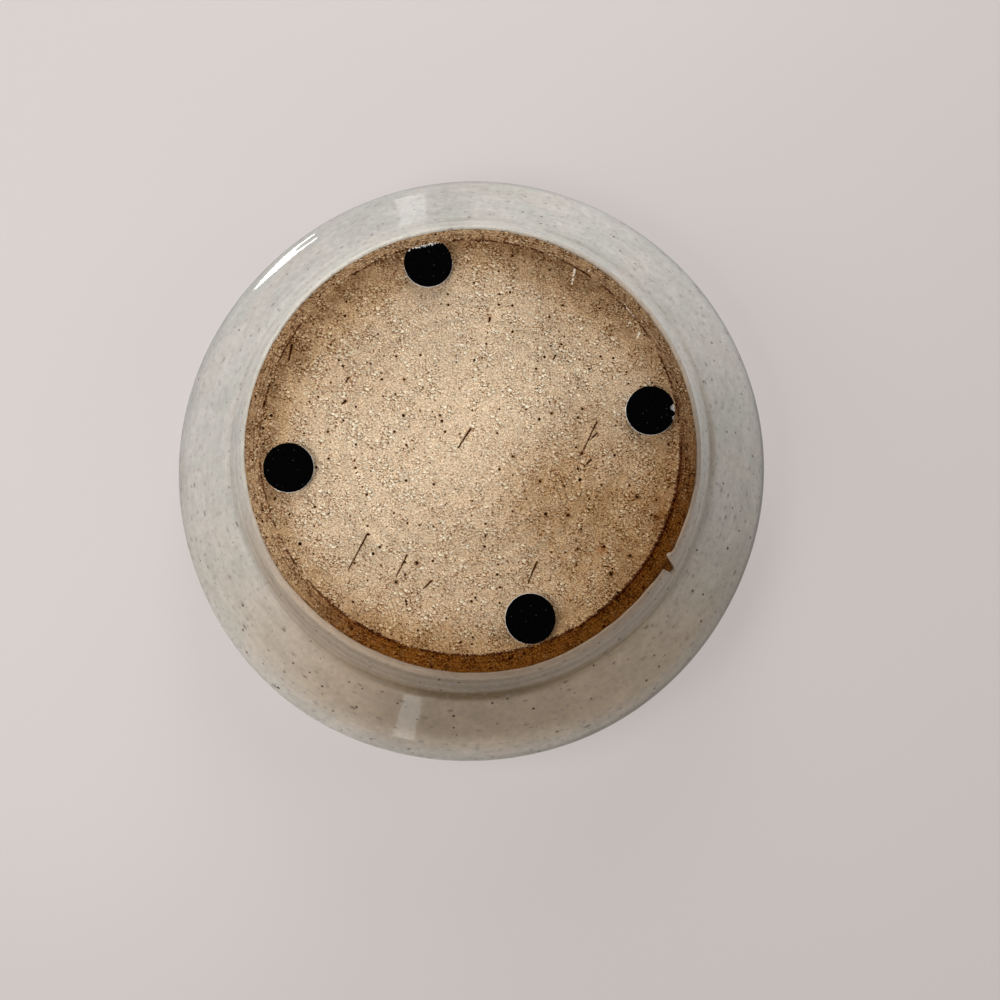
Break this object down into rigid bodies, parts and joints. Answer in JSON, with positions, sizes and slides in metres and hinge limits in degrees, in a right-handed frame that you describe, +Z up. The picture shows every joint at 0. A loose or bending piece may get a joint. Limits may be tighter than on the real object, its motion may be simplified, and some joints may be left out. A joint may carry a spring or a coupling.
{
  "type": "stoneware planter dish",
  "caption": "Shallow wheel-thrown stoneware dish with a flared glazed wall and a bare trimmed base on stick-on rubber pads, to stand under a berry bowl or a plant pot.",
  "frame": {"origin": "on the surface the dish stands on, under the middle of the dish", "axes": "+Z up along the dish's axis, +Y towards the pad that runs past the edge of the base, +X to its right seen from above"},
  "size_m": [0.17, 0.17, 0.0348],
  "materials": {
    "clay": "bare fired stoneware, buff with pale grog and iron specks, toasted brown at the bevel",
    "glaze": "glossy grey-white glaze with iron specks",
    "pad_rubber": "matte black",
    "adhesive_film": "clear glossy adhesive film"
  },
  "bodies": {
    "root": {"clay_body": "clay", "glaze_coat": "glaze", "foot_pad_back": "pad_rubber", "foot_pad_right": "pad_rubber", "foot_pad_front": "pad_rubber", "foot_pad_left": "pad_rubber", "film_back": "adhesive_film", "film_right": "adhesive_film", "film_front": "adhesive_film", "film_left": "adhesive_film"}
  },
  "joints": []
}
